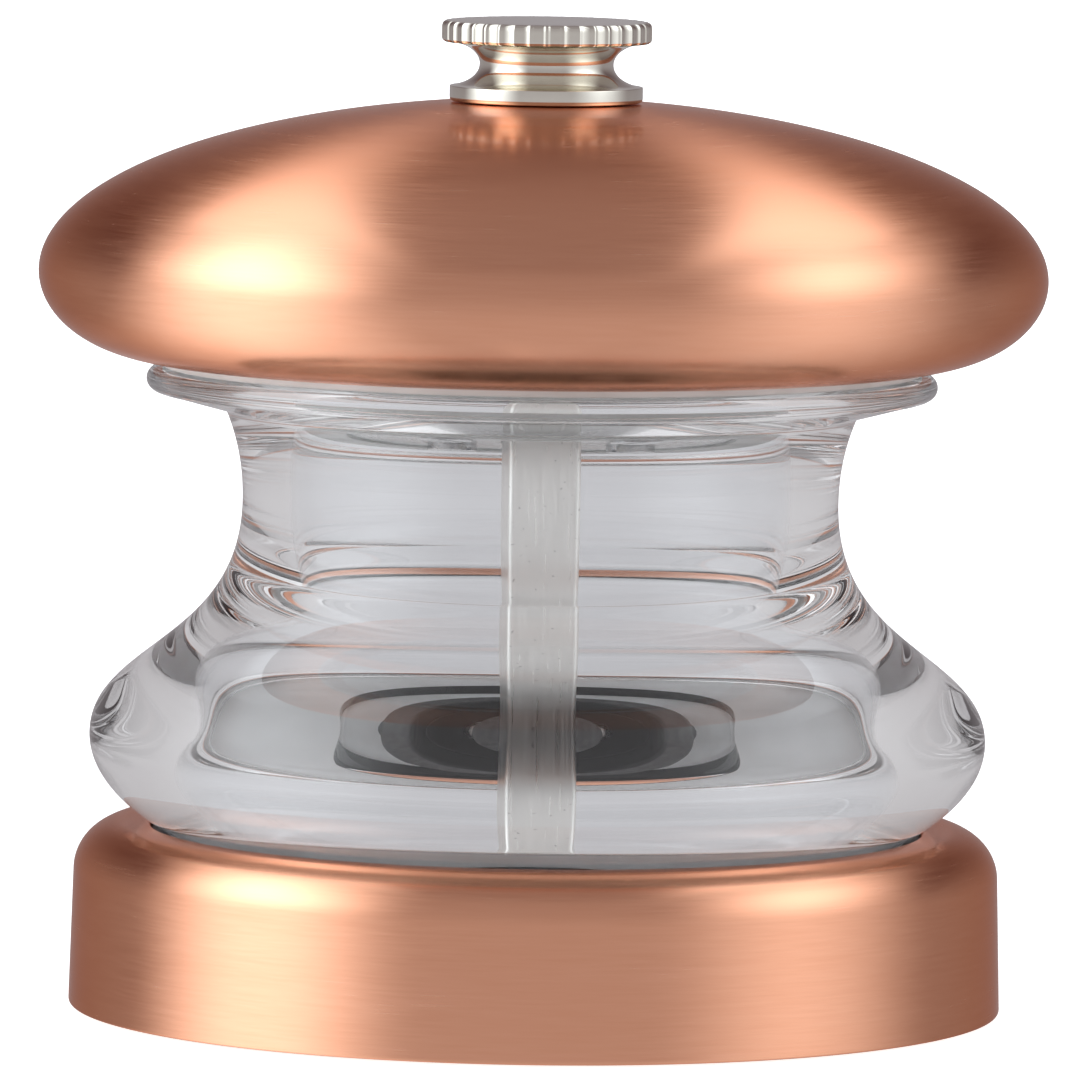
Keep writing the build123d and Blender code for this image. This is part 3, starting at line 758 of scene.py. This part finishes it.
def angleFrom(tree, direction, aim):
    turn, rise = (math.radians(angle) for angle in aim)
    towards = (math.sin(turn) * math.cos(rise), -math.cos(turn) * math.cos(rise), math.sin(rise))
    dot = addNode(tree, "ShaderNodeVectorMath", {"operation": "DOT_PRODUCT"}, i0=direction, i1=towards)
    return mathNode(tree, "DEGREES", mathNode(tree, "ARCCOSINE", dot.outputs["Value"]))


def tinted(tree, level):
    # the softboxes are a little cool and the room behind them glows warm
    cool = addNode(tree, "ShaderNodeVectorMath", {"operation": "SCALE"}, i0=studio["tint"], i3=level)
    warm = {"i0": cool.outputs[0], "i1": studio["glow"]}
    return addNode(tree, "ShaderNodeVectorMath", {"operation": "ADD"}, **warm).outputs[0]


def studioLevel(tree, direction):
    across, behind, height = addNode(tree, "ShaderNodeSeparateXYZ", Vector=direction).outputs
    rise = mathNode(tree, "DEGREES", mathNode(tree, "ARCSINE", height))
    level = fade(tree, ramp(tree, rise, *studio["lowOver"]), studio["frontLow"], studio["front"])
    level = fade(tree, ramp(tree, rise, *studio["ceilingFrom"]), level, studio["ceiling"])
    dark = fade(tree, ramp(tree, rise, *studio["flagOver"]), studio["flagLow"], studio["flag"])
    edge = studio["strip"]
    poleTurn, poleRise = edge["pole"]
    for box, flag in zip(studio["boxes"], studio["flags"]):
        hand = math.copysign(1.0, flag["aim"][0])
        aside = angleFrom(tree, direction, flag["aim"])
        clear = ramp(tree, aside, *flag["edge"])
        level = fade(tree, clear, dark, level)
        past = ramp(tree, angleFrom(tree, direction, box["aim"]), *box["edge"])
        disc = product(tree, rest(tree, past), clear)
        slant = angleFrom(tree, direction, (hand * poleTurn, poleRise))
        below = rest(tree, ramp(tree, slant, *edge["top"]))
        ownSide = ramp(tree, product(tree, across, hand), *edge["ownSide"])
        beside = ramp(tree, aside, *flag["stripEdge"])
        strip = product(tree, ramp(tree, slant, *edge["low"]), beside, edge["share"])
        strip = product(tree, strip, ramp(tree, behind, *edge["behind"]), ownSide)
        shine = fade(tree, ramp(tree, rise, *box["lowOver"]), box["lowLevel"], box["level"])
        level = fade(tree, product(tree, mathNode(tree, "MAXIMUM", disc, strip), below), level, shine)
    return level


firstBounce = 0.5  # a ray's depth is under this before its first bounce of a kind


def makeWorld():
    # rays that pass the acrylic see mostly a plain grey; the camera sees a white backdrop
    world = bpy.data.worlds.new("studio")
    scene.world = world
    world.use_nodes = True
    tree = world.node_tree
    tree.nodes.clear()
    direction = addNode(tree, "ShaderNodeTexCoord").outputs["Generated"]
    path = addNode(tree, "ShaderNodeLightPath").outputs
    direct = mathNode(tree, "LESS_THAN", path["Diffuse Depth"], firstBounce)
    mirrored = mathNode(tree, "GREATER_THAN", path["Glossy Depth"], firstBounce)
    plain = mixColour(tree, mirrored, studio["through"], studio["inside"])
    share = fade(tree, mirrored, studio["throughShare"], studio["insideShare"])
    through = product(tree, path["Is Transmission Ray"], direct, share)
    colour = mixColour(tree, through, tinted(tree, studioLevel(tree, direction)), plain)
    colour = mixColour(tree, path["Is Camera Ray"], colour, studio["backdrop"])
    shade = addNode(tree, "ShaderNodeBackground", Color=colour, Strength=1.0)
    out = addNode(tree, "ShaderNodeOutputWorld")
    tree.links.new(shade.outputs[0], out.inputs["Surface"])


makeWorld()

floorLook = {
    "radius": 9.0, "drop": 0.0001, "colour": (0.72, 0.72, 0.73, 1), "roughness": 0.9,
    "glow": 0.78, "whiteOver": (0.04, 0.4),  # metres from the axis over which the painted glow rises to white
}


def makeFloor():
    # white from a painted glow (emission, weaker near the axis) over a soft cast shadow, seen by the
    # camera from above; all other rays pass through it
    look = floorLook
    bm = bmesh.new()
    bmesh.ops.create_circle(bm, cap_ends=True, segments=96, radius=look["radius"])
    floor = meshFrom("floor", bm)
    floor.location.z = -look["drop"]
    material, tree, shader = newMaterial("paleFloor")
    x, y, _ = addNode(tree, "ShaderNodeSeparateXYZ", Vector=place(tree)).outputs
    # painted light: the floor's emission, weaker near the axis and full white from 0.4 m out
    paintedFloorGlow = fade(tree, ramp(tree, fromAxis(tree, x, y), *look["whiteOver"]), look["glow"], 1.0)
    shader.inputs["Base Color"].default_value = look["colour"]
    shader.inputs["Roughness"].default_value = look["roughness"]
    shader.inputs["Specular IOR Level"].default_value = 0.0
    shader.inputs["Emission Color"].default_value = (1, 1, 1, 1)
    plug(tree, shader, "Emission_Strength", paintedFloorGlow)
    camera = addNode(tree, "ShaderNodeLightPath").outputs["Is Camera Ray"]
    fromAbove = rest(tree, addNode(tree, "ShaderNodeNewGeometry").outputs["Backfacing"])
    clear = addNode(tree, "ShaderNodeBsdfTransparent").outputs[0]
    seen = product(tree, camera, fromAbove)
    both = addNode(tree, "ShaderNodeMixShader", i0=seen, i1=clear, i2=shader.outputs[0])
    tree.links.new(both.outputs[0], tree.nodes["Material Output"].inputs["Surface"])
    floor.data.materials.append(material)


makeFloor()
scene.view_settings.view_transform = "Standard"
scene.cycles.max_bounces = 24
scene.cycles.transmission_bounces = 20
scene.cycles.glossy_bounces = 10
print("camera, floor and light ready")
